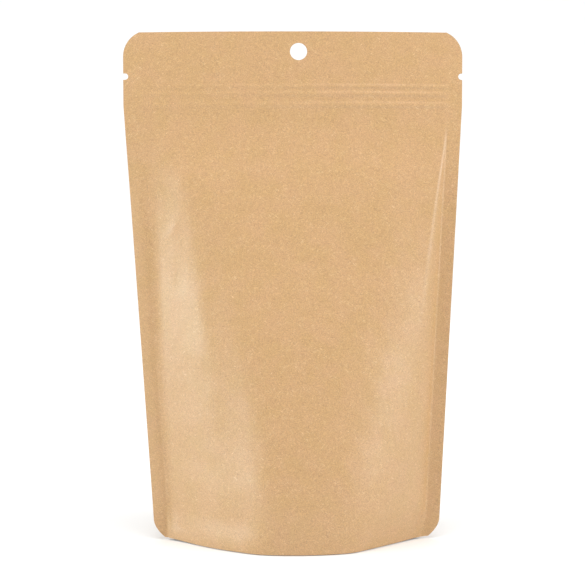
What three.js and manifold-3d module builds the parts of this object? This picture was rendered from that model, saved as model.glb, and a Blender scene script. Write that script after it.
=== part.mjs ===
// A filled stand-up pouch of plain kraft paper laminate, zip-closed, with a hang hole.
// Millimetres, +Z up. X runs across the pouch, the front panel faces -Y, and the origin
// lies on the ground under the middle of the pouch.
//
// The pouch is one shut piece, so it is one solid. Its front and back panels are height
// fields over the upright plane. The outline is cut to them afterwards: round top corners,
// tear notches, hang hole and trimmed bottom corners. The gusset is cut in from below.
import * as THREE from 'three';
import { mergeVertices } from 'three/addons/utils/BufferGeometryUtils.js';
import Module from 'manifold-3d';

// Outline of the flat parts
const height = 240;
const mouthWidth = 159.4;
const footNarrowing = 24.2;
const taperStart = 206;
const footShift = 1.6;
const topCornerRadius = 12.2;
const topCornerOvershoot = 0.9;
const holeDiameter = 8;
const holeDrop = 9.3;
const holeOffset = 2.5;
const notchDiameter = 3;
const notchDrop = 20.5;
const leftNotchDepth = 2.4;
const rightNotchDepth = 1.9;

// Bottom corners: trimmed by a curved cut, and lifted a little by the stiff side seals
const cornerCutHeight = 9.8;
const cornerCutWidth = 4.8;
const cornerCutBulge = 0.7;
const cornerLift = 0.9;
const cornerLiftStart = 44;

// Panels
const sealWidth = 6;
const sealHalfThickness = 0.3;
const sealCurls = [1.3, -0.5];
const sealCurlTop = 195;
const sealCurlFull = 150;
const sealCurlFoot = 20;
const sealCurlExponent = 1.5;
const mouthBow = 6;
const mouthBowStart = 125;
const mouthBowEnd = 204;

// Filling: each panel bulges below the zip, widens down to the foot and tucks in there
const fullDepth = 42.4;
const fillTop = 204;
const fillStartBend = 10;
const bulgeShare = 0.16;
const bulgeExponent = 3;
const tuck = 5;
const tuckHeight = 36;

// Left and right flank of each panel. A flank starts inside the seal, further in at the belly
// and at the foot. Its slope grows with the depth and eases further in. It leaves the seal and
// meets the round crown softly. The crown's arc would end a reach outside the seal's edge,
// which grows up the pouch and shrinks at the foot.
const frontFlanks = [
  {
    start: 1.2, atBelly: 1.9, atFoot: 3, slope: 0.92, growth: 0.45, easing: 15, ease: 0.25,
    sealBend: 3, ridgeBend: 4.2, crown: 2.45, reach: 0.7, reachGrowth: 0, reachLoss: 0,
  },
  {
    start: 0.5, atBelly: 0, atFoot: 4.2, slope: 1.3, growth: 0.25, easing: 60, ease: 0,
    sealBend: 1, ridgeBend: 1.2, crown: 2.55, reach: 0.5, reachGrowth: 3.4, reachLoss: 2.5,
  },
];
const backFlanks = [
  {
    start: 1, atBelly: 1, atFoot: 3.5, slope: 1, growth: 0.35, easing: 20, ease: 0.1,
    sealBend: 2, ridgeBend: 2.4, crown: 2.5, reach: 0.8, reachGrowth: 1.5, reachLoss: 1,
  },
  {
    start: 1.5, atBelly: 1.4, atFoot: 3.5, slope: 0.96, growth: 0.4, easing: 18, ease: 0.2,
    sealBend: 2.4, ridgeBend: 3, crown: 2.5, reach: 0.7, reachGrowth: 0.5, reachLoss: 0.5,
  },
];
const easeBend = 6;
const bellyHeight = 80;
const bellySpread = 45;
const footHeight = 16;
const footSlope = 1.1;
const footSlopeStart = 55;
const footBend = 3;
const reachGrowthEnd = 115;
const reachLossStart = 40;
const leastSoftness = 0.02;
const sealFade = 1.5;

// Zip: ridges that its tracks press through both panels, as drops below the top edge
const zipRidges = [
  { drop: 25.3, halfWidth: 1.1, rise: 0.3 },
  { drop: 28.9, halfWidth: 1.4, rise: 0.35 },
  { drop: 33.9, halfWidth: 1.6, rise: 0.35 },
];
const zipCrestShare = 0.4;

// Broad ridges and dents where the stiff laminate gives way, as lines of [x, z]. Each has a
// rise, which changes from a first to a last share along the line, a spread to the left and to
// the right of the line, and a crest radius.
const frontFolds = [
  {
    line: [[-74, 200], [-52, 165], [-46, 120], [-44, 92]],
    rise: 2.3, first: 0.4, last: 0.35, left: 12, right: 8, crest: 4,
  },
  {
    line: [[71, 203], [41, 165], [42, 122]],
    rise: 2.2, first: 0.4, last: 0.3, left: 9, right: 12, crest: 4,
  },
  { line: [[-55, 41], [-40, 38]], rise: -0.9, first: 0.6, last: 1, left: 4, right: 6, crest: 2 },
];
const backFolds = [
  { line: [[74, 203], [50, 150]], rise: -1.2, first: 1, last: 1, left: 8, right: 8, crest: 4 },
  { line: [[-72, 204], [-38, 160]], rise: 1.3, first: 1, last: 1, left: 8, right: 8, crest: 4 },
  { line: [[24, 90], [20, 8]], rise: 1.4, first: 1, last: 1, left: 12, right: 12, crest: 4 },
  { line: [[-56, 52], [-36, 44]], rise: -1, first: 1, last: 1, left: 5, right: 5, crest: 2 },
];
const foldFade = 5;
const reliefFade = 0.96;

// Bottom gusset: its panel is sealed to the skirt, hangs to the ground in the middle and
// rises to its folded ends
const gussetEndRise = 33;
const gussetEndReach = 70;
const gussetEndExponent = 4;
const gussetHalfLength = 59.5;
const gussetSealRise = 7.4;
const gussetSealExponent = 6;
const gussetPress = 0.4;
const skirtThickness = 0.8;

// Fineness of the surface
const bodyColumns = 44;
const sealColumns = 2;
const bodyRows = 31;
const mouthRows = 4;
const gussetColumns = 24;
const gussetLayers = 10;
const curveSteps = 12;
const trimMargin = 3;
const sliverLimit = 0.01;

const clamp = (value, low, high) => Math.min(Math.max(value, low), high);
const lerp = (from, to, share) => from + (to - from) * share;

function smoothstep(from, to, value) {
  const share = clamp((value - from) / (to - from), 0, 1);
  return share * share * (3 - 2 * share);
}

// How far a height is down the taper, from 0 at its start to 1 on the ground.
function taperShare(z) {
  return Math.max((taperStart - z) / taperStart, 0);
}

// Half the width of the outline at a height: the filled belly draws the sides in.
function halfWidth(z) {
  return (mouthWidth - footNarrowing * taperShare(z)) / 2;
}

// 0 well below 0 and the value itself well above, with a soft bend between.
function bend(value, reach) {
  return value > reach ? value : (clamp(value, -reach, reach) + reach) ** 2 / (4 * reach);
}

// The lower of two values, with the corner where they cross rounded off.
function softMin(first, second, reach) {
  return first - bend(first - second, reach);
}

// How far the contents push a panel out along its middle.
function fillDepth(z) {
  const start = fillTop - fillStartBend;
  const share = clamp(bend(start - z, fillStartBend) / start, 0, 1);
  const bulge = bulgeShare * (1 - (1 - share) ** bulgeExponent);
  const tuckShare = clamp(1 - z / tuckHeight, 0, 1);
  return fullDepth * ((1 - bulgeShare) * share + bulge) - tuck * tuckShare ** 2;
}

// How far the contents push a panel out: a round crown between two flatter flanks.
function fillSwell(flanks, x, z) {
  const flank = flanks[x < 0 ? 0 : 1];
  const body = halfWidth(z) - sealWidth;
  const inward = body - Math.abs(x);
  const depth = fillDepth(z);
  const share = depth / fullDepth;
  const grown = flank.reachGrowth * smoothstep(0, reachGrowthEnd, z);
  const lost = flank.reachLoss * smoothstep(reachLossStart, 0, z);
  const arcEnd = body + flank.reach + grown - lost;
  const crown = depth * (1 - (Math.abs(x) / arcEnd) ** flank.crown);
  const foot = smoothstep(footHeight, 0, z);
  const belly = Math.exp(-(((z - bellyHeight) / bellySpread) ** 2));
  const start = flank.start + flank.atBelly * belly + flank.atFoot * foot;
  const full = flank.slope * share ** flank.growth;
  const slope = lerp(full, footSlope, smoothstep(footSlopeStart, 0, z));
  const eased = slope * flank.ease * bend(inward - flank.easing, easeBend);
  const softness = leastSoftness + share;
  const rise = softMin(crown, slope * (inward - start) - eased, flank.ridgeBend * softness);
  const soft = bend(rise, (flank.sealBend + footBend * foot) * softness);
  return soft * smoothstep(0, sealFade, inward);
}

// Ridges of the zip, each with a flat crest and straight flanks.
function zipRelief(z) {
  let relief = 0;
  for (const { drop, halfWidth: reach, rise } of zipRidges) {
    const off = Math.abs(z - (height - drop)) / reach;
    relief = Math.max(relief, rise * clamp((1 - off) / (1 - zipCrestShare), 0, 1));
  }
  return relief;
}

// One ridge or dent: highest on its line, falling off to both sides.
function foldRelief({ line, rise, first, last, left, right, crest }, x, z) {
  let nearest = Infinity;
  let signed = 0;
  let along = 0;
  let passed = 0;
  for (let i = 0; i < line.length - 1; i += 1) {
    const step = [line[i + 1][0] - line[i][0], line[i + 1][1] - line[i][1]];
    const length = Math.hypot(...step);
    const way = [step[0] / length, step[1] / length];
    const from = [x - line[i][0], z - line[i][1]];
    const offset = clamp(from[0] * way[0] + from[1] * way[1], 0, length);
    const off = [from[0] - offset * way[0], from[1] - offset * way[1]];
    const distance = Math.hypot(...off);
    if (distance < nearest) {
      nearest = distance;
      signed = way[0] * off[1] - way[1] * off[0];
      along = passed + offset;
    }
    passed += length;
  }
  const spread = signed > 0 ? left : right;
  const fall = (Math.hypot(nearest, crest) - crest) / spread;
  return rise * lerp(first, last, along / passed) * Math.exp(-fall);
}

// Distance of a panel from the middle surface.
function panelDepth(flanks, folds, x, z) {
  const across = Math.abs(x) / (halfWidth(z) - sealWidth);
  if (across >= 1) {
    return sealHalfThickness;
  }
  const swell = fillSwell(flanks, x, z);
  let relief = zipRelief(z);
  for (const fold of folds) {
    relief += foldRelief(fold, x, z) * smoothstep(0, foldFade, swell);
  }
  return sealHalfThickness + swell + relief * smoothstep(1, reliefFade, across);
}

// The middle surface: the empty mouth above the zip bows to the front, and the side seals
// curl a little.
function middleDepth(x, z) {
  const half = halfWidth(z);
  const bow = mouthBow * (1 - (x / half) ** 2) * smoothstep(mouthBowStart, mouthBowEnd, z);
  const outward = Math.max((Math.abs(x) - half) / sealWidth + 1, 0);
  const curl = sealCurls[x < 0 ? 0 : 1] * outward ** sealCurlExponent;
  return curl * smoothstep(sealCurlTop, sealCurlFull, z) * smoothstep(0, sealCurlFoot, z) - bow;
}

// Y of the front panel (side -1) or the back panel (side 1), drawn in by an inset.
function panelY(side, x, z, inset) {
  const isFront = side < 0;
  const flanks = isFront ? frontFlanks : backFlanks;
  const depth = panelDepth(flanks, isFront ? frontFolds : backFolds, x, z);
  return middleDepth(x, z) + side * (depth - inset);
}

// Reshapes a block by a rule that places each of its points by three shares, from -1 to 1
// along X, Y and Z. Points that were shared stay shared, so the block stays closed.
function shapedBlock(columns, layers, rows, place) {
  const geometry = new THREE.BoxGeometry(2, 2, 2, columns, layers, rows);
  const points = geometry.attributes.position;
  for (let i = 0; i < points.count; i += 1) {
    points.setXYZ(i, ...place(points.getX(i), points.getY(i), points.getZ(i)));
  }
  return geometry;
}

// Heights of the rows of points: even over the body, and on each edge of the zip's ridges.
function rowHeights() {
  const rows = [];
  const zipFoot = height - Math.max(...zipRidges.map(({ drop }) => drop)) - 3;
  const zipHead = height - Math.min(...zipRidges.map(({ drop }) => drop)) + 3;
  for (let i = 0; i <= bodyRows; i += 1) {
    rows.push(lerp(-trimMargin, zipFoot, i / bodyRows));
  }
  for (const { drop, halfWidth: reach } of zipRidges) {
    for (const edge of [-1, -zipCrestShare, zipCrestShare, 1]) {
      rows.push(height - drop + edge * reach);
    }
  }
  for (let i = 0; i <= mouthRows; i += 1) {
    rows.push(lerp(zipHead, height + trimMargin, i / mouthRows));
  }
  return rows.sort((low, high) => low - high);
}

// Both panels as one block, a little larger than the outline on all sides.
function panelsBlock() {
  const rows = rowHeights();
  const columns = bodyColumns + 2 * sealColumns;
  const bodyShare = bodyColumns / columns;
  return shapedBlock(columns, 1, rows.length - 1, (u, v, w) => {
    const z = rows[Math.round(((w + 1) / 2) * (rows.length - 1))];
    const body = halfWidth(z) - sealWidth;
    const inner = clamp(u / bodyShare, -1, 1);
    const outer = Math.max(Math.abs(u) - bodyShare, 0) / (1 - bodyShare);
    const across = lerp(inner, Math.sin((inner * Math.PI) / 2), 0.6);
    const x = across * body + Math.sign(u) * outer * (sealWidth + trimMargin);
    return [x, panelY(Math.sign(v), x, z, 0), z];
  });
}

// The outline seen from the front, as a plate thick enough to hold the whole body.
function outlinePlate() {
  const top = halfWidth(height);
  const cornerX = top - topCornerRadius;
  const cornerZ = height + topCornerOvershoot - topCornerRadius;
  const cornerEnd = Math.asin((height - cornerZ) / topCornerRadius);
  const cutTop = halfWidth(cornerCutHeight);
  const cutFoot = halfWidth(0) - cornerCutWidth;
  const outline = new THREE.Shape();
  outline.moveTo(-cornerLiftStart, 0);
  outline.lineTo(cornerLiftStart, 0);
  outline.quadraticCurveTo(lerp(cornerLiftStart, cutFoot, 0.5), 0, cutFoot, cornerLift);
  const bulgeX = cutTop - cornerCutBulge;
  const bulgeZ = lerp(cornerLift, cornerCutHeight, 0.3);
  outline.quadraticCurveTo(bulgeX, bulgeZ, cutTop, cornerCutHeight);
  outline.lineTo(top, taperStart);
  outline.absarc(cornerX, cornerZ, topCornerRadius, 0, cornerEnd, false);
  outline.absarc(-cornerX, cornerZ, topCornerRadius, Math.PI - cornerEnd, Math.PI, false);
  outline.lineTo(-top, taperStart);
  outline.lineTo(-cutTop, cornerCutHeight);
  outline.quadraticCurveTo(-bulgeX, bulgeZ, -cutFoot, cornerLift);
  outline.quadraticCurveTo(-lerp(cornerLiftStart, cutFoot, 0.5), 0, -cornerLiftStart, 0);
  const depth = 2 * (fullDepth + 10);
  const plate = new THREE.ExtrudeGeometry(outline, {
    depth,
    bevelEnabled: false,
    curveSegments: curveSteps,
  });
  return plate.rotateX(Math.PI / 2).translate(0, depth / 2, 0);
}

// The left side is drawn in more than the right, so what is below the taper's start shifts a
// little to the right.
function shiftedFoot(geometry) {
  const points = geometry.attributes.position;
  for (let i = 0; i < points.count; i += 1) {
    points.setX(i, points.getX(i) + footShift * taperShare(points.getZ(i)));
  }
  return geometry;
}

// A round cutter through both panels, front to back.
function punch(diameter, x, z) {
  const cutter = new THREE.CylinderGeometry(diameter / 2, diameter / 2, 30, 2 * curveSteps);
  return cutter.translate(x, 0, z);
}

// The room under the gusset, between the skirts that the panels form below it.
function gussetRoom() {
  return shapedBlock(gussetColumns, gussetLayers, gussetLayers, (u, v, w) => {
    const x = u * gussetHalfLength;
    const endRise = gussetEndRise * Math.abs(x / gussetEndReach) ** gussetEndExponent;
    const sealRise = gussetSealRise * Math.abs(v) ** gussetSealExponent;
    const ceiling = endRise + sealRise - gussetPress;
    const z = lerp(-trimMargin, ceiling, (w + 1) / 2);
    const y = lerp(panelY(-1, x, z, skirtThickness), panelY(1, x, z, skirtThickness), (v + 1) / 2);
    return [x, y, z];
  });
}

const wasm = await Module();
wasm.setup();

// Turns a closed geometry into a solid that can be joined and cut.
function solid(geometry) {
  geometry.deleteAttribute('normal');
  geometry.deleteAttribute('uv');
  const merged = mergeVertices(geometry, 1e-4);
  return new wasm.Manifold(new wasm.Mesh({
    numProp: 3,
    vertProperties: new Float32Array(merged.attributes.position.array),
    triVerts: new Uint32Array(merged.index.array),
  }));
}

// Turns a solid back into a geometry.
function geometryOf(body) {
  const { vertProperties, triVerts } = body.getMesh();
  const geometry = new THREE.BufferGeometry();
  geometry.setAttribute('position', new THREE.BufferAttribute(vertProperties, 3));
  geometry.setIndex(new THREE.BufferAttribute(triVerts, 1));
  geometry.computeVertexNormals();
  return geometry;
}

// The whole pouch, set midway between the deepest points of its front and back.
function pouchGeometry() {
  const notchEdge = halfWidth(height) + notchDiameter / 2;
  const geometry = geometryOf(
    solid(shiftedFoot(panelsBlock()))
      .intersect(solid(shiftedFoot(outlinePlate())))
      .subtract(solid(punch(holeDiameter, holeOffset, height - holeDrop)))
      .subtract(solid(punch(notchDiameter, leftNotchDepth - notchEdge, height - notchDrop)))
      .subtract(solid(punch(notchDiameter, notchEdge - rightNotchDepth, height - notchDrop)))
      .subtract(solid(shiftedFoot(gussetRoom())))
      .simplify(sliverLimit),
  );
  geometry.computeBoundingBox();
  const { min, max } = geometry.boundingBox;
  return geometry.translate(0, -(min.y + max.y) / 2, 0);
}

const kraftPaper = new THREE.MeshStandardMaterial({
  color: 0xdab283,
  roughness: 0.55,
  metalness: 0,
});

const pouch = new THREE.Mesh(pouchGeometry(), kraftPaper);
pouch.name = 'pouch';

const group = new THREE.Group();
group.add(pouch);

export default group;
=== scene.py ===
"""A filled stand-up pouch of plain kraft paper laminate, dressed around its CAD solid.

Three webs of one laminate make the pouch: a front panel, a back panel and a folded bottom
gusset. They are sealed together along the sides, the foot and behind the zip. Each web is a
thin closed sheet here, shaped by the same named sizes as the solid that it replaces.
X runs across the pouch, the front faces -Y, and all sizes are in metres.
"""

import math
from collections import namedtuple

import bpy
import numpy as np
from bpy.props import FloatProperty, FloatVectorProperty, PointerProperty
from mathutils import Euler, Matrix, Vector


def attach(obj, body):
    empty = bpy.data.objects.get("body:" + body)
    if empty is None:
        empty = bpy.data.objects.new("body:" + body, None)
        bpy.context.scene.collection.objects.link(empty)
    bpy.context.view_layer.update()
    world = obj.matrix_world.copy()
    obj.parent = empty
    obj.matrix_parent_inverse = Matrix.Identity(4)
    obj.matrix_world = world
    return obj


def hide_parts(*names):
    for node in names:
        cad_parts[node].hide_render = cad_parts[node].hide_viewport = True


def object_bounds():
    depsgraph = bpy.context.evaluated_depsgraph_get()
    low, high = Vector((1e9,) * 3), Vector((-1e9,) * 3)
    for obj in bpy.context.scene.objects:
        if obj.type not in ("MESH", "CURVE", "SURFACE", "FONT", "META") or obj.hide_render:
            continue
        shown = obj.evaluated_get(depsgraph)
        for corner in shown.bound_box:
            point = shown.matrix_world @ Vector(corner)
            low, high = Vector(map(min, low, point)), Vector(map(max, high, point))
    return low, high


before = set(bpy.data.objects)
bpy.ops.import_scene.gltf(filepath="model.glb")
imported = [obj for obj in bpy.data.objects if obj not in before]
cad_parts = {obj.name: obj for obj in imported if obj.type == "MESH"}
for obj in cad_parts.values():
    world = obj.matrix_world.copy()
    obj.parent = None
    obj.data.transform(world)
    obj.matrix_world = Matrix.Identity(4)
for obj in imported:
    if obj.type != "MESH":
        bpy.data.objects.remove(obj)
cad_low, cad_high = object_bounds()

bl_info = {
    "name": "Kraft Stand-Up Pouch",
    "version": (1, 0, 0),
    "blender": (4, 5, 0),
    "location": "View3D > Sidebar > Pouch",
    "description": "Builds a filled stand-up pouch of kraft paper laminate on a studio sweep",
    "category": "Add Mesh",
}

MM = 0.001
NODE = "pouch"
FRONT = -1
BACK = 1

# Outline of the flat parts
TAPER_START = 206 * MM
FOOT_NARROWING = 24.2 * MM
FOOT_SHIFT = 1.6 * MM
TOP_CORNER_RADIUS = 12.2 * MM
TOP_CORNER_OVERSHOOT = 0.9 * MM
HOLE_RADIUS = 4 * MM
HOLE_DROP = 9.3 * MM
HOLE_OFFSET = 2.5 * MM
HOLE_PATCH = 6.6 * MM
HOLE_RINGS = 4
NOTCH_RADIUS = 1.5 * MM
NOTCH_DROP = 20.5 * MM
NOTCH_DEPTHS = {-1: 2.4 * MM, 1: 1.9 * MM}
CORNER_CUT_HEIGHT = 9.8 * MM
CORNER_CUT_WIDTH = 4.8 * MM
CORNER_LIFT = 0.9 * MM
CORNER_LIFT_START = 44 * MM
CORNER_LIFT_END = 63 * MM
FOOT_GAP = 0.35 * MM

# How the contents fill the panels
SEAL_WIDTH = 6 * MM
LEAST_SEAL_SHARE = 0.4
SEAL_HALF_THICKNESS = 0.3 * MM
SEAL_FADE = 1.5 * MM
FILL_TOP = 204 * MM
FILL_START_BEND = 14 * MM
BULGE_SHARE = 0.20
BULGE_EXPONENT = 3
TUCK = 5.0 * MM
TUCK_HEIGHT = 36 * MM
MOUTH_BOW = 6 * MM
MOUTH_BOW_START = 125 * MM
MOUTH_BOW_END = 204 * MM

# Flanks of the panels, left and right. A flank starts inside the seal, further in or out at the
# belly and at the foot. Its slope grows with the depth up to its steepest, and eases by a share
# from a distance on. It leaves the seal and meets the crown in soft bends, and has a steeper lip.
# The crown has an exponent that grows by its fullness where the pouch is thin. It would end past
# the seal by its reach, which grows up the pouch and shrinks at the foot.
Flank = namedtuple(
    "Flank",
    "start at_belly at_foot steepest growth easing ease seal_bend ridge_bend lip "
    "crown fullness reach reach_growth reach_loss",
)
FLANKS = {
    (FRONT, -1): Flank(
        start=3.4 * MM, at_belly=-0.8 * MM, at_foot=-2.0 * MM,
        steepest=0.98, growth=0.70, easing=23 * MM, ease=0.30,
        seal_bend=4.2 * MM, ridge_bend=3.0 * MM, lip=0.15,
        crown=2.3, fullness=5.0, reach=1.0 * MM, reach_growth=0.0, reach_loss=0.0,
    ),
    (FRONT, 1): Flank(
        start=0.5 * MM, at_belly=0.0, at_foot=3.0 * MM,
        steepest=1.24, growth=0.12, easing=60 * MM, ease=0.0,
        seal_bend=1.3 * MM, ridge_bend=2.0 * MM, lip=0.0,
        crown=2.3, fullness=-0.3, reach=2.0 * MM, reach_growth=5.0 * MM, reach_loss=2.0 * MM,
    ),
    (BACK, -1): Flank(
        start=1.0 * MM, at_belly=1.0 * MM, at_foot=3.5 * MM,
        steepest=1.00, growth=0.35, easing=20 * MM, ease=0.1,
        seal_bend=2.0 * MM, ridge_bend=2.4 * MM, lip=0.0,
        crown=2.5, fullness=0.0, reach=0.8 * MM, reach_growth=1.5 * MM, reach_loss=1.0 * MM,
    ),
    (BACK, 1): Flank(
        start=1.5 * MM, at_belly=1.4 * MM, at_foot=3.5 * MM,
        steepest=0.96, growth=0.40, easing=18 * MM, ease=0.2,
        seal_bend=2.4 * MM, ridge_bend=3.0 * MM, lip=0.0,
        crown=2.5, fullness=0.0, reach=0.7 * MM, reach_growth=0.5 * MM, reach_loss=0.5 * MM,
    ),
}
EASE_BEND = 6 * MM
LIP_WIDTH = 4 * MM
LEAST_SOFTNESS = 0.02
BELLY_HEIGHT = 80 * MM
BELLY_SPREAD = 45 * MM
FOOT_HEIGHT = 16 * MM
FOOT_SLOPE = 1.0
FOOT_SLOPE_START = 55 * MM
FOOT_BEND = 3 * MM
REACH_GROWTH_HEIGHT = 115 * MM
REACH_LOSS_START = 40 * MM

# How far the side seals curl back, left and right, and the heights between which they do
SEAL_CURL = {-1: 1.3 * MM, 1: -0.5 * MM}
CURL_START = 195 * MM
CURL_FULL = 150 * MM
CURL_FOOT = 20 * MM

# Ridges of the zip: drop below the top edge, half width, rise
ZIP_RIDGES = (
    (25.3 * MM, 1.3 * MM, 0.32 * MM),
    (28.9 * MM, 1.6 * MM, 0.36 * MM),
    (33.9 * MM, 1.9 * MM, 0.40 * MM),
)
ZIP_CREST_SHARE = 0.15
ZIP_LEFT_SHARE = 0.4
ZIP_CHANGE = 45 * MM
ZIP_ZONE_HEAD = 22 * MM
ZIP_ZONE_FOOT = 40 * MM

# Bottom gusset: its underside rises to its ends and to the panels, and rests on the ground
GUSSET_END_RISE = 33 * MM
GUSSET_END_REACH = 70 * MM
GUSSET_END_EXPONENT = 4
GUSSET_HALF_LENGTH = 59.5 * MM
GUSSET_SEAL_RISE = 7.4 * MM
GUSSET_SEAL_EXPONENT = 6
GUSSET_PRESS = 0.4 * MM
GUSSET_THINNING = 0.9
GUSSET_PLY_ROWS = 10
GUSSET_COLUMNS = 130
GUSSET_ROWS = 90

# Ridges and dents: points as (x, z) in millimetres, rise, spread on the left and the right
# of the line, crest radius, and the shares of the rise at its first and last point
Fold = namedtuple("Fold", "points rise left right crest first last")
FOLDS = {
    FRONT: (
        Fold(((-72, 200), (-49, 165), (-43, 120), (-42, 92)), 3.2, 12, 10, 4, 0.5, 0.3),
        Fold(((70, 203), (43, 165), (43, 122)), 3.0, 10, 12, 4, 0.5, 0.2),
        Fold(((-55, 41), (-40, 38)), -0.3, 4, 5, 2, 0.6, 1),
        Fold(((-60, 144), (-56, 149)), 0.22, 1.5, 1.2, 0.6, 0.5, 1),
        Fold(((38, 148), (43, 143.5)), -0.16, 1.5, 1.5, 0.6, 0.5, 1),
        Fold(((49, 147.5), (53, 143)), 0.18, 1.5, 1.5, 0.6, 1, 0.5),
        Fold(((-62, 9.2), (-48, 5.2)), -0.3, 1.2, 1.8, 0.6, 1, 0.3),
    ),
    BACK: (
        Fold(((74, 203), (50, 150)), -1.2, 8, 8, 4, 1, 1),
        Fold(((-72, 204), (-38, 160)), 1.3, 8, 8, 4, 1, 1),
        Fold(((24, 90), (20, 8)), 1.4, 12, 12, 4, 1, 1),
        Fold(((-56, 52), (-36, 44)), -1.0, 5, 5, 2, 1, 1),
    ),
}
FOLD_FULL_SWELL = 5 * MM

# Faint waves of the filled panels: wavelengths, the slope that each adds, and how its crests
# sway, as shares of the wavelength
CRUMPLE_WAVES = 12
CRUMPLE_LONGEST = 48 * MM
CRUMPLE_SHORTEST = 8 * MM
CRUMPLE_SLOPE = 0.008
CRUMPLE_SWAY = 0.18
CRUMPLE_SWAY_LENGTH = 1.7
CRUMPLE_FULL_SWELL = 9 * MM
CRUMPLE_SEED = 12

# Share of the way to the seal from which folds, waves and zip ridges fade out
RELIEF_FADE = 0.96

# Fineness of the meshes
BODY_COLUMNS = 140
SEAL_COLUMNS = 7
ROW_STEP = 0.9 * MM
ZIP_ROW_STEP = 0.4 * MM
NOTCH_STEPS = 10
NOTCH_ROW_GAP = 1.05
NOTCH_ROW_REACH = 1.02
SHARP_ANGLE = math.radians(50)
SETTLE_SAMPLES = 121

# Sweep of the stage, in metres
SWEEP_WIDTH = 8.0
SWEEP_FRONT = -3.0
SWEEP_BACK = 2.5
SWEEP_RADIUS = 1.0
SWEEP_TOP = 4.0
SWEEP_STEPS = 17
SWEEP_GLOW = 0.11

# Softboxes: name, the point they face, azimuth, elevation, distance, size, power, colour
POUCH_MIDDLE = (0, 0, 0.12)
POUCH_TOP = (0, 0, 0.26)
BACKDROP = (0, 2.2, 0.3)
SOFTBOXES = (
    ("softbox_key", POUCH_TOP, 8, 60, 0.55, (0.7, 0.4), 2.95, "#FFFCF8"),
    ("softbox_overhead", POUCH_MIDDLE, 0, 105, 1.5, (1.6, 1.2), 5.0, "#FFFFFF"),
    ("softbox_left", POUCH_MIDDLE, -79, 9, 1.2, (0.7, 0.45), 8.0, "#ECFBFF"),
    ("softbox_right", POUCH_MIDDLE, 69, 14, 1.2, (0.5, 0.45), 6.0, "#F2FBFF"),
    ("softbox_backdrop", BACKDROP, 0, 35, 1.6, (2.4, 0.8), 13.0, "#FFFFFF"),
)
ROOM_LIGHT = 0.575
SENSOR_WIDTH = 36


def linear(hex_colour):
    """An sRGB hex colour as linear red, green and blue."""
    shares = [int(hex_colour[i : i + 2], 16) / 255 for i in (1, 3, 5)]
    return tuple(
        s / 12.92 if s <= 0.04045 else ((s + 0.055) / 1.055) ** 2.4 for s in shares
    )


class PouchSizes(bpy.types.PropertyGroup):
    """Driving sizes of the pouch."""

    height: FloatProperty(
        name="Height",
        description="From the ground to the top edge",
        default=cad_high.z - cad_low.z,
        unit="LENGTH",
    )
    mouth_width: FloatProperty(
        name="Mouth width",
        description="Across the flat mouth",
        default=cad_high.x - cad_low.x,
        unit="LENGTH",
    )
    fill_depth: FloatProperty(
        name="Fill depth",
        description="How far the contents push each panel out near the foot",
        default=42.4 * MM,
        unit="LENGTH",
    )
    laminate: FloatProperty(
        name="Laminate",
        description="Thickness of one web of the laminate",
        default=0.295 * MM,
        unit="LENGTH",
    )
    crumple: FloatProperty(
        name="Crumple",
        description="Strength of the faint waves all over the filled panels",
        default=1.0,
        min=0.0,
        subtype="FACTOR",
    )


class PouchColours(bpy.types.PropertyGroup):
    """Colours of the pouch and its stage."""

    kraft: FloatVectorProperty(
        name="Kraft",
        description="Unbleached kraft paper under its matt film",
        default=linear("#C09969"),
        subtype="COLOR",
        min=0,
        max=1,
    )
    kraft_red: FloatVectorProperty(
        name="Kraft red",
        description="Redder clouds of the same paper",
        default=linear("#C39A6E"),
        subtype="COLOR",
        min=0,
        max=1,
    )
    pale_fibre: FloatVectorProperty(
        name="Pale fibre",
        description="Long pale fibres of the pulp",
        default=linear("#EBCDA4"),
        subtype="COLOR",
        min=0,
        max=1,
    )
    dark_fibre: FloatVectorProperty(
        name="Dark fibre",
        description="Bark specks and dark fibres of the pulp",
        default=linear("#9A6E43"),
        subtype="COLOR",
        min=0,
        max=1,
    )
    # Own colour of the laminate's cut edge, darkened as painted shade of the thin dark line along
    # the pouch's edges
    cut_edge_and_painted_shade: FloatVectorProperty(
        name="Cut edge",
        description="Cut edge of the laminate: paper and barrier film on edge",
        default=linear("#A58A68"),
        subtype="COLOR",
        min=0,
        max=1,
    )
    sweep: FloatVectorProperty(
        name="Sweep",
        description="Opal white sweep that the pouch stands on",
        default=linear("#EDEDED"),
        subtype="COLOR",
        min=0,
        max=1,
    )


class PouchStage(bpy.types.PropertyGroup):
    """Camera and light of the stage."""

    distance: FloatProperty(
        name="Camera distance",
        description="From the camera to the middle plane of the pouch",
        default=0.750,
        unit="LENGTH",
    )
    camera_height: FloatProperty(
        name="Camera height",
        description="Height of the camera above the floor",
        default=0.1594,
        unit="LENGTH",
    )
    pitch: FloatProperty(
        name="Pitch",
        description="How far the camera looks down",
        default=math.radians(3.17),
        subtype="ANGLE",
    )
    azimuth: FloatProperty(
        name="Azimuth",
        description="How far the camera stands to the right of the pouch's front",
        default=math.radians(-1.0),
        subtype="ANGLE",
    )
    roll: FloatProperty(
        name="Roll",
        description="Tilt of the camera, which turns the picture anticlockwise",
        default=math.radians(-0.06),
        subtype="ANGLE",
    )
    shift: FloatProperty(
        name="Shift",
        description="Sideways shift of the lens, as a share of the picture",
        default=-0.0012,
    )
    view_angle: FloatProperty(
        name="View angle",
        description="Width of the view",
        default=math.radians(20.91),
        subtype="ANGLE",
    )


# --- Shape of the pouch -------------------------------------------------------------------


def smoothstep(start, end, value):
    """0 below start and 1 above end, or the other way round, and smooth between them."""
    share = np.clip((value - start) / (end - start), 0, 1)
    return share * share * (3 - 2 * share)


def taper_share(z):
    """How far a height is down the taper, from 0 at its start to 1 on the ground."""
    return np.clip((TAPER_START - z) / TAPER_START, 0, None)


def half_width(sizes, z):
    """Half the width of the untrimmed outline at a height."""
    return (sizes.mouth_width - FOOT_NARROWING * taper_share(z)) / 2


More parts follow.
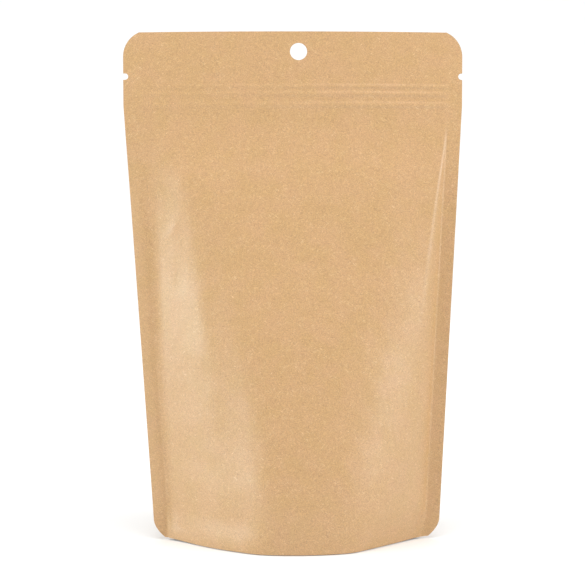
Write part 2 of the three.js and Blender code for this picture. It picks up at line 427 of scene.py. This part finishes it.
def trimmed_half_width(sizes, z, side):
    """Half the width of the outline at a height, with its corners and its notch cut."""
    width = half_width(sizes, z)
    corner_x = sizes.mouth_width / 2 - TOP_CORNER_RADIUS
    corner_z = sizes.height + TOP_CORNER_OVERSHOOT - TOP_CORNER_RADIUS
    above = np.clip(z - corner_z, 0, TOP_CORNER_RADIUS)
    arc = corner_x + np.sqrt(TOP_CORNER_RADIUS**2 - above**2)
    width = np.where(z > corner_z, np.minimum(width, arc), width)
    down = np.clip((CORNER_CUT_HEIGHT - z) / CORNER_CUT_HEIGHT, 0, 1)
    width = width - CORNER_CUT_WIDTH * down**2
    off = np.abs(z - (sizes.height - NOTCH_DROP))
    bite = NOTCH_DEPTHS[side] - NOTCH_RADIUS
    bite = bite + np.sqrt(np.clip(NOTCH_RADIUS**2 - off**2, 0, None))
    return np.where(off < NOTCH_RADIUS, width - bite, width)


def bend(value, reach):
    """0 well below 0 and the value itself well above, with a soft bend between."""
    bent = (np.clip(value, -reach, reach) + reach) ** 2 / (4 * reach)
    return np.where(value > reach, value, bent)


def soft_min(first, second, reach):
    """The lower of two values, with the corner where they cross rounded off."""
    return first - bend(first - second, reach)


def fill_depth(sizes, z):
    """How far the contents push a panel out along its middle."""
    top = FILL_TOP - FILL_START_BEND
    share = np.clip(bend(top - z, FILL_START_BEND) / top, 0, 1)
    bulge = BULGE_SHARE * (1 - (1 - share) ** BULGE_EXPONENT)
    tuck = TUCK * np.clip(1 - z / TUCK_HEIGHT, 0, 1) ** 2
    return sizes.fill_depth * ((1 - BULGE_SHARE) * share + bulge) - tuck


def fill_swell(sizes, side, x, z):
    """How far the contents push a panel out: a round crown between two flatter flanks."""
    inner = half_width(sizes, z) - SEAL_WIDTH
    depth = fill_depth(sizes, z)
    share = depth / sizes.fill_depth
    belly = np.exp(-(((z - BELLY_HEIGHT) / BELLY_SPREAD) ** 2))
    foot = smoothstep(FOOT_HEIGHT, 0, z)
    swell = np.zeros_like(x)
    for turn in (-1, 1):
        flank = FLANKS[side, turn]
        reach = flank.reach + flank.reach_growth * (z / REACH_GROWTH_HEIGHT) ** 3
        reach = reach - flank.reach_loss * smoothstep(REACH_LOSS_START, 0, z)
        exponent = flank.crown + flank.fullness * (1 - share) ** 2
        crown = depth * (1 - (np.abs(x) / (inner + reach)) ** exponent)
        inward = inner - turn * x
        slope = flank.steepest * share**flank.growth
        slope = slope + (FOOT_SLOPE - slope) * smoothstep(FOOT_SLOPE_START, 0, z)
        start = flank.start + flank.at_belly * belly + flank.at_foot * foot
        rise = slope * (inward - start)
        lip = np.exp(-np.clip(inward - start, 0, None) / LIP_WIDTH)
        rise = rise + flank.lip * share**1.5 * LIP_WIDTH * (1 - lip)
        rise = rise - slope * flank.ease * bend(inward - flank.easing, EASE_BEND)
        softness = LEAST_SOFTNESS + share
        shape = soft_min(crown, rise, flank.ridge_bend * np.sqrt(softness))
        shape = bend(shape, (flank.seal_bend + FOOT_BEND * foot) * softness)
        swell = np.where(turn * x >= 0, shape, swell)
    return swell * smoothstep(0, SEAL_FADE, inner - np.abs(x))


def zip_relief(sizes, x, z):
    """Ridges that the tracks of the zip press through the panels, flatter on the left."""
    relief = np.zeros_like(z)
    for drop, reach, rise in ZIP_RIDGES:
        off = np.abs(z - (sizes.height - drop)) / reach
        flank = np.clip((1 - off) / (1 - ZIP_CREST_SHARE), 0, 1)
        relief = np.maximum(relief, rise * smoothstep(0, 1, flank))
    rightward = smoothstep(-ZIP_CHANGE, ZIP_CHANGE, x)
    return relief * (ZIP_LEFT_SHARE + (1 - ZIP_LEFT_SHARE) * rightward)


def crumple_relief(sizes, side, x, z):
    """Faint waves all over a filled panel, as handling leaves in thin laminate."""
    random = np.random.default_rng(CRUMPLE_SEED + side)
    relief = np.zeros_like(x)
    for length in np.geomspace(CRUMPLE_LONGEST, CRUMPLE_SHORTEST, CRUMPLE_WAVES):
        turn, phase = random.uniform(0, 2 * math.pi, 2)
        place = x * math.cos(turn) + z * math.sin(turn)
        sway = x * math.sin(turn) - z * math.cos(turn)
        sway_turn = sway * 2 * math.pi / (CRUMPLE_SWAY_LENGTH * length)
        bent = place + CRUMPLE_SWAY * length * np.sin(sway_turn)
        relief += length * np.sin(bent * 2 * math.pi / length + phase)
    return sizes.crumple * CRUMPLE_SLOPE / (2 * math.pi) * relief


def fold_relief(fold, x, z):
    """Height of one ridge or dent: highest on its line, falling off to both sides."""
    points = [np.array(point) * MM for point in fold.points]
    lengths = [np.linalg.norm(b - a) for a, b in zip(points, points[1:])]
    nearest = np.full_like(x, np.inf)
    signed = np.zeros_like(x)
    along = np.zeros_like(x)
    passed = 0.0
    for start, end, length in zip(points, points[1:], lengths):
        way = (end - start) / length
        offset = (x - start[0]) * way[0] + (z - start[1]) * way[1]
        offset = np.clip(offset, 0, length)
        dx = x - start[0] - offset * way[0]
        dz = z - start[1] - offset * way[1]
        distance = np.hypot(dx, dz)
        closer = distance < nearest
        nearest = np.where(closer, distance, nearest)
        signed = np.where(closer, way[0] * dz - way[1] * dx, signed)
        along = np.where(closer, (passed + offset) / sum(lengths), along)
        passed += length
    spread = np.where(signed > 0, fold.left, fold.right) * MM
    fall = (np.hypot(nearest, fold.crest * MM) - fold.crest * MM) / spread
    strength = fold.first + (fold.last - fold.first) * along
    return fold.rise * MM * strength * np.exp(-fall)


def panel_depth(sizes, side, x, z):
    """Distance of a panel's outer face from the middle surface."""
    swell = fill_swell(sizes, side, x, z)
    relief = zip_relief(sizes, x, z)
    crumple = crumple_relief(sizes, side, x, z)
    relief = relief + crumple * smoothstep(0, CRUMPLE_FULL_SWELL, swell)
    for fold in FOLDS[side]:
        relief = relief + fold_relief(fold, x, z) * smoothstep(0, FOLD_FULL_SWELL, swell)
    across = np.abs(x) / (half_width(sizes, z) - SEAL_WIDTH)
    return SEAL_HALF_THICKNESS + swell + relief * smoothstep(1, RELIEF_FADE, across)


def middle_depth(sizes, x, z):
    """Y of the middle surface: the empty mouth bows to the front and the side seals curl."""
    across = x / half_width(sizes, z)
    bow = MOUTH_BOW * (1 - across**2) * smoothstep(MOUTH_BOW_START, MOUTH_BOW_END, z)
    outward = np.clip((np.abs(x) - half_width(sizes, z)) / SEAL_WIDTH + 1, 0, None)
    curl = np.where(x < 0, SEAL_CURL[-1], SEAL_CURL[1]) * outward**1.5
    return curl * smoothstep(CURL_START, CURL_FULL, z) * smoothstep(0, CURL_FOOT, z) - bow


def panel_y(sizes, side, x, z, inset):
    """Y of a panel's outer face, or of a face that lies inset below it."""
    return middle_depth(sizes, x, z) + side * (panel_depth(sizes, side, x, z) - inset)


def corner_lift(x):
    """How far the foot of the panels is off the ground: more at the stiff side seals."""
    reach = CORNER_LIFT_END - CORNER_LIFT_START
    share = np.clip((np.abs(x) - CORNER_LIFT_START) / reach, 0, 1)
    return FOOT_GAP + CORNER_LIFT * share**2


def gusset_height(x, share):
    """Height of the gusset's underside, at a share of the way from its middle to a panel."""
    ends = GUSSET_END_RISE * np.abs(x / GUSSET_END_REACH) ** GUSSET_END_EXPONENT
    sides = GUSSET_SEAL_RISE * np.abs(share) ** GUSSET_SEAL_EXPONENT
    return np.maximum(ends + sides - GUSSET_PRESS, 0)


# --- Mesh code ----------------------------------------------------------------------------


def row_heights(sizes):
    """Heights of a panel's rows: closer at the zip, and on the round of the notches."""
    zip_foot = sizes.height - ZIP_ZONE_FOOT
    zip_head = sizes.height - ZIP_ZONE_HEAD
    notch = sizes.height - NOTCH_DROP
    body = np.linspace(0, zip_foot, round(zip_foot / ROW_STEP) + 1)
    zip_rows = np.linspace(zip_foot, zip_head, round((zip_head - zip_foot) / ZIP_ROW_STEP))
    mouth = np.linspace(zip_head, sizes.height, round((sizes.height - zip_head) / ROW_STEP))
    turns = np.linspace(-math.pi / 2, math.pi / 2, NOTCH_STEPS)
    notch_rows = notch + NOTCH_RADIUS * np.sin(turns)
    mouth = mouth[np.abs(mouth - notch) > NOTCH_RADIUS * NOTCH_ROW_GAP]
    rows = np.concatenate([body, zip_rows[1:], mouth[1:], notch_rows])
    beside = NOTCH_RADIUS * NOTCH_ROW_REACH
    rows = np.append(rows, [notch - beside, notch + beside])
    return np.unique(np.round(rows, 7))


def panel_layout(sizes):
    """Flat layout of a panel, seen from the front: points (x, z) and quads round them."""
    rows = row_heights(sizes)
    shares = np.linspace(-1, 1, BODY_COLUMNS + 1)
    shares = 0.5 * shares + 0.5 * np.sin(shares * math.pi / 2)
    seal = np.linspace(0, 1, SEAL_COLUMNS + 1)[1:]
    lines = []
    for z in rows:
        left = trimmed_half_width(sizes, z, -1)
        right = trimmed_half_width(sizes, z, 1)
        inner = half_width(sizes, z) - SEAL_WIDTH
        inner_left = min(inner, left - SEAL_WIDTH * LEAST_SEAL_SHARE)
        inner_right = min(inner, right - SEAL_WIDTH * LEAST_SEAL_SHARE)
        body = np.where(shares < 0, shares * inner_left, shares * inner_right)
        left_seal = -(inner_left + (left - inner_left) * seal[::-1])
        right_seal = inner_right + (right - inner_right) * seal
        x = np.concatenate([left_seal, body, right_seal])
        lifted = z + corner_lift(x) * max(0, 1 - z / CORNER_CUT_HEIGHT)
        lines.append(np.stack([x, lifted], 1))
    grid = np.array(lines)
    return punched(sizes, grid)


def punched(sizes, grid):
    """The grid as points and quads, with the hang hole cut into it and ringed."""
    count_z, count_x = grid.shape[:2]
    index = np.arange(count_z * count_x).reshape(count_z, count_x)
    centre = np.array([HOLE_OFFSET, sizes.height - HOLE_DROP])
    middle_row = np.argmin(np.abs(grid[:, count_x // 2, 1] - centre[1]))
    near_x = np.nonzero(np.abs(grid[middle_row, :, 0] - centre[0]) < HOLE_PATCH)[0]
    near_z = np.nonzero(np.abs(grid[:, count_x // 2, 1] - centre[1]) < HOLE_PATCH)[0]
    x0, x1, z0, z1 = near_x[0], near_x[-1], near_z[0], near_z[-1]
    kept = np.ones((count_z - 1, count_x - 1), bool)
    kept[z0:z1, x0:x1] = False
    quads = np.stack(
        [index[:-1, :-1], index[:-1, 1:], index[1:, 1:], index[1:, :-1]], axis=-1
    )[kept]
    ring = np.concatenate(
        [
            index[z0, x0:x1],
            index[z0:z1, x1],
            index[z1, x1:x0:-1],
            index[z1:z0:-1, x0],
        ]
    )
    points = grid.reshape(-1, 2)
    border = points[ring]
    angle = np.arctan2(border[:, 1] - centre[1], border[:, 0] - centre[0])
    rim = centre + HOLE_RADIUS * np.stack([np.cos(angle), np.sin(angle)], 1)
    for step in range(1, HOLE_RINGS + 1):
        share = step / HOLE_RINGS
        new = len(points) + np.arange(len(ring))
        points = np.concatenate([points, border + (rim - border) * share])
        quads = np.concatenate(
            [quads, np.stack([ring, np.roll(ring, -1), np.roll(new, -1), new], 1)]
        )
        ring = new
    used, quads = np.unique(quads, return_inverse=True)
    return points[used], quads.reshape(-1, 4)


def sheet_mesh(name, outer, inner, quads, materials):
    """A closed thin sheet: an outer and an inner face, and a wall along every open edge."""
    count = len(outer)
    starts = quads.ravel()
    ends = np.roll(quads, -1, axis=1).ravel()
    open_edge = ~np.isin(starts * count + ends, ends * count + starts)
    a, b = starts[open_edge], ends[open_edge]
    walls = np.stack([b, a, a + count, b + count], 1)
    faces = np.concatenate([quads, quads[:, ::-1] + count, walls])
    mesh = bpy.data.meshes.new(name)
    mesh.vertices.add(2 * count)
    mesh.vertices.foreach_set("co", np.concatenate([outer, inner]).ravel())
    mesh.loops.add(faces.size)
    mesh.loops.foreach_set("vertex_index", faces.ravel())
    mesh.polygons.add(len(faces))
    mesh.polygons.foreach_set("loop_start", np.arange(0, faces.size, 4))
    wall_start = len(faces) - len(walls)
    mesh.polygons.foreach_set("material_index", np.arange(len(faces)) >= wall_start)
    mesh.update(calc_edges=True)
    mesh.validate()
    mesh.shade_smooth()
    mesh.set_sharp_from_angle(angle=SHARP_ANGLE)
    for material in materials:
        mesh.materials.append(material)
    piece = bpy.data.objects.new(name, mesh)
    bpy.context.scene.collection.objects.link(piece)
    return piece


def settle(sizes, points):
    """Moves points to their place: the foot shifts to the right, and Y is centred."""
    z = np.linspace(0, sizes.height, SETTLE_SAMPLES)[:, None]
    across = np.linspace(-1, 1, SETTLE_SAMPLES)[None, :]
    x = across * (half_width(sizes, z) - SEAL_WIDTH)
    z = z + 0 * x
    nearest = panel_y(sizes, FRONT, x, z, 0).min()
    farthest = panel_y(sizes, BACK, x, z, 0).max()
    points = points.copy()
    points[:, 0] += FOOT_SHIFT * taper_share(points[:, 2])
    points[:, 1] -= (nearest + farthest) / 2
    return points


def make_panel(sizes, side, name, materials):
    """The front or the back panel as a thin sheet."""
    flat, quads = panel_layout(sizes)
    x, z = flat[:, 0], flat[:, 1]
    outer = np.stack([x, panel_y(sizes, side, x, z, 0), z], 1)
    inner = np.stack([x, panel_y(sizes, side, x, z, sizes.laminate), z], 1)
    if side == BACK:
        quads = quads[:, ::-1]
    outer = settle(sizes, outer)
    inner = settle(sizes, inner)
    return sheet_mesh(name, outer, inner, quads, materials)


def make_gusset(sizes, name, materials):
    """The bottom gusset: sealed to both panels up to its seal line, and sagging between."""
    spread = np.linspace(-GUSSET_HALF_LENGTH, GUSSET_HALF_LENGTH, GUSSET_COLUMNS + 1)
    seal_line = gusset_height(spread, 1.0)
    lines = []
    for x, top in zip(spread, seal_line):
        rise = np.linspace(0, top, GUSSET_PLY_ROWS + 1)
        lift = corner_lift(x) * np.clip(1 - rise / CORNER_CUT_HEIGHT, 0, None)
        across = x + 0 * rise
        front, back = (
            panel_y(sizes, side, across, rise, 2 * sizes.laminate) for side in (FRONT, BACK)
        )
        share = np.linspace(-1, 1, GUSSET_ROWS + 1)[1:-1]
        middle, half = (front[-1] + back[-1]) / 2, (back[-1] - front[-1]) / 2
        y = np.concatenate([front, middle + half * share, back[::-1]])
        z = np.concatenate([rise + lift, gusset_height(x, share), (rise + lift)[::-1]])
        lines.append(np.stack([x + 0 * y, y, z], 1))
    seen = np.array(lines)
    way = np.gradient(seen, axis=1)
    normal = np.stack([0 * way[..., 0], -way[..., 2], way[..., 1]], -1)
    normal /= np.maximum(np.linalg.norm(normal, axis=-1, keepdims=True), 1e-9)
    hidden = seen + sizes.laminate * GUSSET_THINNING * normal
    hidden[:, 0, 2] = seen[:, 0, 2]
    hidden[:, -1, 2] = seen[:, -1, 2]
    index = np.arange(seen.shape[0] * seen.shape[1]).reshape(seen.shape[:2])
    quads = np.stack([index[:-1, :-1], index[:-1, 1:], index[1:, 1:], index[1:, :-1]], -1)
    outer = settle(sizes, seen.reshape(-1, 3))
    inner = settle(sizes, hidden.reshape(-1, 3))
    return sheet_mesh(name, outer, inner, quads.reshape(-1, 4), materials)


# --- Materials ----------------------------------------------------------------------------


def add_node(tree, kind, inputs=(), **settings):
    """Adds a node with its settings. An input is given a value, or a socket to link from."""
    node = tree.nodes.new(kind)
    for key, value in settings.items():
        setattr(node, key, value)
    for key, value in dict(inputs).items():
        if isinstance(value, bpy.types.NodeSocket):
            tree.links.new(value, node.inputs[key])
        else:
            node.inputs[key].default_value = value
    return node


def new_material(name):
    """An empty node material and its tree."""
    material = bpy.data.materials.new(name)
    material.use_nodes = True
    material.node_tree.nodes.clear()
    return material, material.node_tree


def add_fibres(tree, place, turn, length, width, start, end):
    """Share of fibres of a real size that lie at an angle across the paper."""
    along = add_node(
        tree,
        "ShaderNodeMapping",
        {"Vector": place, "Rotation": (0, turn, 0), "Scale": (length, length, width)},
        vector_type="TEXTURE",
    )
    streaks = add_node(
        tree,
        "ShaderNodeTexNoise",
        {"Vector": along.outputs["Vector"], "Scale": 1.0, "Detail": 1.0},
    )
    return add_node(
        tree,
        "ShaderNodeMapRange",
        {"Value": streaks.outputs["Fac"], "From Min": start, "From Max": end},
    ).outputs["Result"]


def kraft_laminate(colours):
    """Unbleached kraft paper laminated with a matt film: a satin sheen over paper grain."""
    material, tree = new_material("kraft_paper_matt_laminate")
    place = add_node(tree, "ShaderNodeTexCoord").outputs["Object"]
    # Clouds of the pulp, 9 mm wide, where the paper is a little redder
    cloud = add_node(
        tree, "ShaderNodeTexNoise", {"Vector": place, "Scale": 1 / (9 * MM), "Detail": 3.0}
    ).outputs["Fac"]
    reds = add_node(
        tree, "ShaderNodeMapRange", {"Value": cloud, "From Min": 0.35, "From Max": 0.65}
    )
    layers = [(reds.outputs["Result"], colours.kraft_red)]
    # Pale and dark fibres that cross each other. A real one is 0.04 mm wide, which is too fine
    # to show, so they are drawn about 0.2 mm wide.
    for turn, width in ((0.6, 0.24), (-0.7, 0.22)):
        fibres = add_fibres(tree, place, turn, 2.0 * MM, width * MM, 0.64, 0.92)
        layers.append((fibres, colours.pale_fibre))
    for turn, width in ((0.1, 0.22), (1.4, 0.2)):
        fibres = add_fibres(tree, place, turn, 1.4 * MM, width * MM, 0.62, 0.90)
        layers.append((fibres, colours.dark_fibre))
    # Bark specks, half a millimetre wide
    specks = add_node(
        tree, "ShaderNodeTexNoise", {"Vector": place, "Scale": 1 / (0.55 * MM), "Detail": 1.0}
    )
    specks = add_node(
        tree,
        "ShaderNodeMapRange",
        {
            "Value": specks.outputs["Fac"],
            "From Min": 0.70,
            "From Max": 0.82,
            "To Max": 0.7,
        },
    )
    layers.append((specks.outputs["Result"], colours.dark_fibre))
    kraft = (*colours.kraft, 1)
    for share, tint in layers:
        # Its inputs by number: 0 is the share, and 6 and 7 are the two colours
        mix = add_node(
            tree, "ShaderNodeMix", {0: share, 6: kraft, 7: (*tint, 1)}, data_type="RGBA"
        )
        kraft = mix.outputs[2]
    # Grain of the paper's surface under the film, as coarse as it needs to show
    grain = add_node(
        tree,
        "ShaderNodeTexNoise",
        {"Vector": place, "Scale": 1 / (0.5 * MM), "Detail": 2.0, "Roughness": 0.6},
    ).outputs["Fac"]
    shade = add_node(
        tree,
        "ShaderNodeMapRange",
        {"Value": grain, "From Min": 0.25, "From Max": 0.75, "To Min": 0.79, "To Max": 1.20},
    )
    shaded = add_node(
        tree, "ShaderNodeVectorMath", {0: kraft, 3: shade.outputs["Result"]}, operation="SCALE"
    )
    bump = add_node(
        tree, "ShaderNodeBump", {"Height": grain, "Strength": 0.35, "Distance": 0.05 * MM}
    )
    satin = add_node(
        tree,
        "ShaderNodeMapRange",
        {"Value": cloud, "From Min": 0.3, "From Max": 0.7, "To Min": 0.34, "To Max": 0.39},
    )
    shader = add_node(
        tree,
        "ShaderNodeBsdfPrincipled",
        {
            "Base Color": shaded.outputs["Vector"],
            "Roughness": satin.outputs["Result"],
            "IOR": 1.6,
            "Normal": bump.outputs["Normal"],
        },
    )
    add_node(tree, "ShaderNodeOutputMaterial", {"Surface": shader.outputs["BSDF"]})
    return material


def cut_edge_and_painted_shade(colours):
    """Knife-cut edge of the laminate: raw paper and film on edge, dull and a little grey, its
    colour also darkened as painted shade of the thin dark line along the pouch's edges.
    """
    material, tree = new_material("laminate_cut_edge")
    place = add_node(tree, "ShaderNodeTexCoord").outputs["Object"]
    fuzz = add_node(
        tree, "ShaderNodeTexNoise", {"Vector": place, "Scale": 1 / (0.4 * MM), "Detail": 2.0}
    )
    bump = add_node(
        tree,
        "ShaderNodeBump",
        {"Height": fuzz.outputs["Fac"], "Strength": 0.4, "Distance": 0.05 * MM},
    )
    shader = add_node(
        tree,
        "ShaderNodeBsdfPrincipled",
        {
            # The cut edge's own colour, darkened as painted shade of the thin edge line
            "Base Color": (*colours.cut_edge_and_painted_shade, 1),
            "Roughness": 0.85,
            "Normal": bump.outputs["Normal"],
        },
    )
    add_node(tree, "ShaderNodeOutputMaterial", {"Surface": shader.outputs["BSDF"]})
    return material


def opal_sweep(colours):
    """Opal acrylic of a product table, lit through from below: an even white without gloss."""
    material, tree = new_material("opal_acrylic_sweep")
    shader = add_node(
        tree,
        "ShaderNodeBsdfPrincipled",
        {
            "Base Color": (*colours.sweep, 1),
            "Roughness": 0.9,
            "Emission Color": (*colours.sweep, 1),
            "Emission Strength": SWEEP_GLOW,
        },
    )
    add_node(tree, "ShaderNodeOutputMaterial", {"Surface": shader.outputs["BSDF"]})
    return material


# --- Operators ----------------------------------------------------------------------------


class POUCH_OT_panels(bpy.types.Operator):
    """Make the front and the back panel of the pouch"""

    bl_idname = "pouch.panels"
    bl_label = "Panels"

    def execute(self, context):
        sizes = context.scene.pouch_sizes
        colours = context.scene.pouch_colours
        materials = [kraft_laminate(colours), cut_edge_and_painted_shade(colours)]
        for side, name in ((FRONT, "front_panel"), (BACK, "back_panel")):
            piece = make_panel(sizes, side, name, materials)
            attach(piece, "root")
            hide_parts(NODE)
        return {"FINISHED"}


class POUCH_OT_gusset(bpy.types.Operator):
    """Make the bottom gusset of the pouch"""

    bl_idname = "pouch.gusset"
    bl_label = "Gusset"

    def execute(self, context):
        colours = context.scene.pouch_colours
        materials = [kraft_laminate(colours), cut_edge_and_painted_shade(colours)]
        piece = make_gusset(context.scene.pouch_sizes, "gusset_panel", materials)
        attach(piece, "root")
        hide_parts(NODE)
        return {"FINISHED"}


class POUCH_OT_stage(bpy.types.Operator):
    """Make the sweep, the lights and the camera"""

    bl_idname = "pouch.stage"
    bl_label = "Stage"

    def execute(self, context):
        make_sweep(context.scene.pouch_colours)
        make_lights()
        make_camera(context.scene.pouch_stage)
        context.scene.view_settings.view_transform = "Standard"
        return {"FINISHED"}


def make_sweep(colours):
    """An opal sweep that runs along the floor and up behind the pouch in one bend."""
    profile = [(SWEEP_FRONT, 0.0)]
    for turn in np.linspace(0, math.pi / 2, SWEEP_STEPS):
        y = SWEEP_BACK - SWEEP_RADIUS + SWEEP_RADIUS * math.sin(turn)
        profile.append((y, SWEEP_RADIUS - SWEEP_RADIUS * math.cos(turn)))
    profile.append((SWEEP_BACK, SWEEP_TOP))
    points = [(x, y, z) for x in (-SWEEP_WIDTH / 2, SWEEP_WIDTH / 2) for y, z in profile]
    count = len(profile)
    faces = [(i, i + count, i + 1 + count, i + 1) for i in range(count - 1)]
    mesh = bpy.data.meshes.new("sweep")
    mesh.from_pydata(points, [], faces)
    mesh.shade_smooth()
    mesh.materials.append(opal_sweep(colours))
    sweep = bpy.data.objects.new("sweep", mesh)
    bpy.context.scene.collection.objects.link(sweep)


def add_softbox(name, aim, azimuth, elevation, distance, size, power, tint):
    """A softbox that faces a point from an azimuth to the right of the pouch's front."""
    light = bpy.data.lights.new(name, "AREA")
    light.shape = "RECTANGLE"
    light.size, light.size_y = size
    light.energy = power
    light.color = linear(tint)
    box = bpy.data.objects.new(name, light)
    turn, rise = math.radians(azimuth), math.radians(elevation)
    level = math.cos(rise)
    way = Vector((math.sin(turn) * level, -math.cos(turn) * level, math.sin(rise)))
    box.location = Vector(aim) + distance * way
    box.rotation_euler = (-way).to_track_quat("-Z", "Y").to_euler()
    bpy.context.scene.collection.objects.link(box)


def make_lights():
    """A pale room, softboxes round the pouch, and one that lights the backdrop."""
    for softbox in SOFTBOXES:
        add_softbox(*softbox)
    world = bpy.data.worlds.new("studio")
    world.use_nodes = True
    room = world.node_tree.nodes["Background"]
    room.inputs["Color"].default_value = (1, 1, 1, 1)
    room.inputs["Strength"].default_value = ROOM_LIGHT
    bpy.context.scene.world = world


def make_camera(stage):
    """The camera of the photograph's view."""
    data = bpy.data.cameras.new("camera")
    data.sensor_width = SENSOR_WIDTH
    data.lens = SENSOR_WIDTH / 2 / math.tan(stage.view_angle / 2)
    data.shift_x = stage.shift
    camera = bpy.data.objects.new("camera", data)
    camera.location = (
        stage.distance * math.sin(stage.azimuth),
        -stage.distance * math.cos(stage.azimuth),
        stage.camera_height,
    )
    look = Euler((math.pi / 2 - stage.pitch, 0, stage.azimuth)).to_matrix()
    camera.rotation_euler = (look @ Matrix.Rotation(stage.roll, 3, "Z")).to_euler()
    bpy.context.scene.collection.objects.link(camera)
    bpy.context.scene.camera = camera


class POUCH_PT_panel(bpy.types.Panel):
    """Lists the pouch's pieces and their sizes and colours"""

    bl_idname = "POUCH_PT_panel"
    bl_label = "Stand-Up Pouch"
    bl_space_type = "VIEW_3D"
    bl_region_type = "UI"
    bl_category = "Pouch"

    def draw(self, context):
        for group in (
            context.scene.pouch_sizes,
            context.scene.pouch_colours,
            context.scene.pouch_stage,
        ):
            box = self.layout.box()
            for key in group.__annotations__:
                box.prop(group, key)
        for operator in (POUCH_OT_panels, POUCH_OT_gusset, POUCH_OT_stage):
            self.layout.operator(operator.bl_idname)


CLASSES = (
    PouchSizes,
    PouchColours,
    PouchStage,
    POUCH_OT_panels,
    POUCH_OT_gusset,
    POUCH_OT_stage,
    POUCH_PT_panel,
)


def register():
    """Registers the classes and hangs the settings on the scene."""
    for cls in CLASSES:
        bpy.utils.register_class(cls)
    bpy.types.Scene.pouch_sizes = PointerProperty(type=PouchSizes)
    bpy.types.Scene.pouch_colours = PointerProperty(type=PouchColours)
    bpy.types.Scene.pouch_stage = PointerProperty(type=PouchStage)


def unregister():
    """Takes away what register added."""
    del bpy.types.Scene.pouch_stage
    del bpy.types.Scene.pouch_colours
    del bpy.types.Scene.pouch_sizes
    for cls in reversed(CLASSES):
        bpy.utils.unregister_class(cls)


def main():
    register()
    bpy.ops.pouch.panels()
    bpy.ops.pouch.gusset()
    bpy.ops.pouch.stage()


if __name__ == "__main__":
    main()
